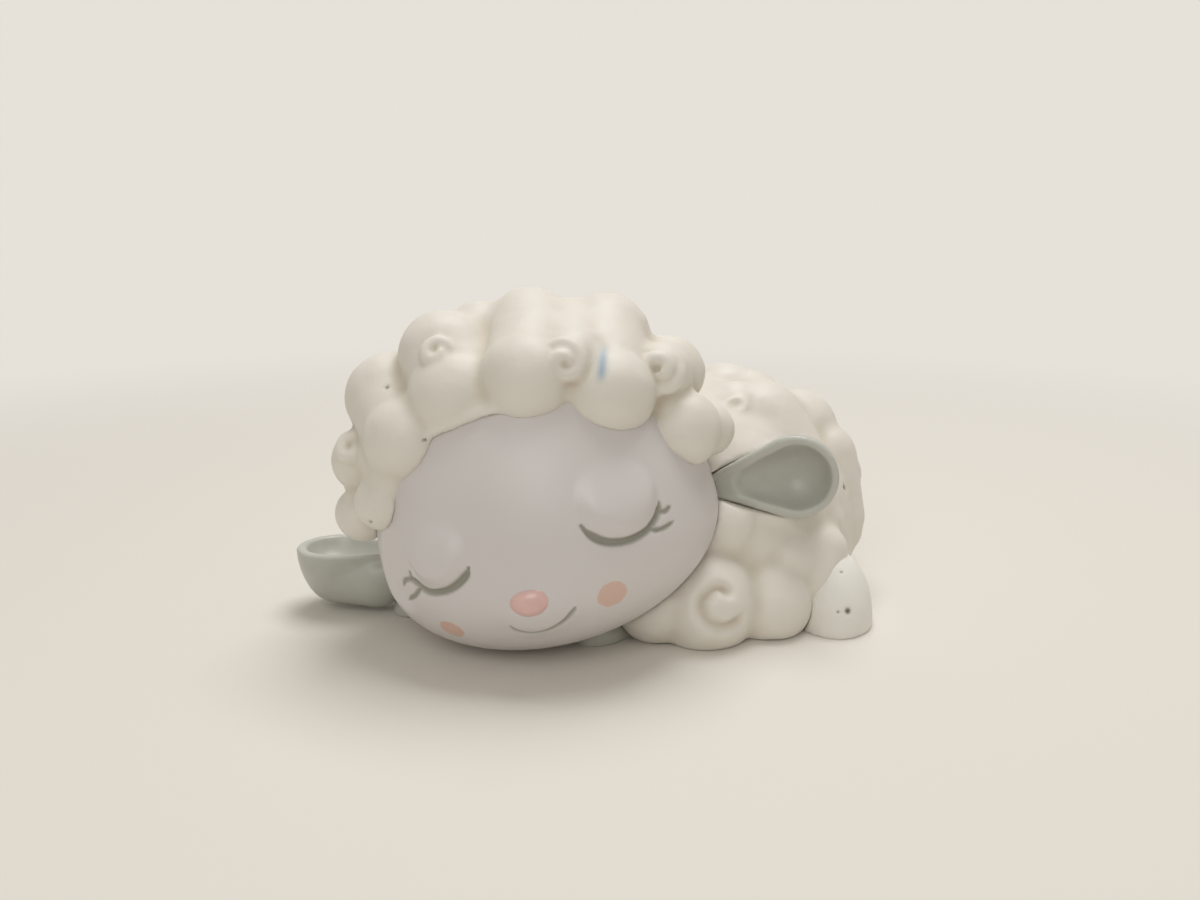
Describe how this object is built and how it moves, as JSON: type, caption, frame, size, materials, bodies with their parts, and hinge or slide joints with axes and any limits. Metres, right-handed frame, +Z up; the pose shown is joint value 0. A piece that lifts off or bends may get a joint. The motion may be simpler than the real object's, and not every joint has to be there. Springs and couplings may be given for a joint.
{
  "type": "sheep figurine",
  "caption": "Lying lamb ornament with its cheek on the ground, a hood of round wool puffs, closed eyes, cupped ears, a curled ball of wool and separate feet.",
  "frame": {"origin": "on the flat underside, below the place where the head meets the body", "axes": "+Z up, +X to the lamb's left along its longest side, +Y towards its back; the face looks towards -Y"},
  "size_m": [0.085, 0.0753, 0.0477],
  "materials": {
    "wool": "satin ivory paint on cast resin",
    "face": "pearly satin paint, peach blush on the cheeks",
    "nose": "glossy pink paint",
    "ears_hooves": "sage grey, semi-gloss",
    "feet": "chalky matt white",
    "dowel": "plain drawn wire"
  },
  "bodies": {
    "root": {"body_fleece": "wool", "head": "face", "fleece_hood": "wool", "nose": "nose", "ear_left": "ears_hooves", "ear_right": "ears_hooves", "hoof_front_left": "ears_hooves", "hoof_front_right": "ears_hooves", "foot_hind_left": "feet", "foot_hind_right": "feet", "tail": "wool", "neck_pin": "dowel"}
  },
  "joints": []
}
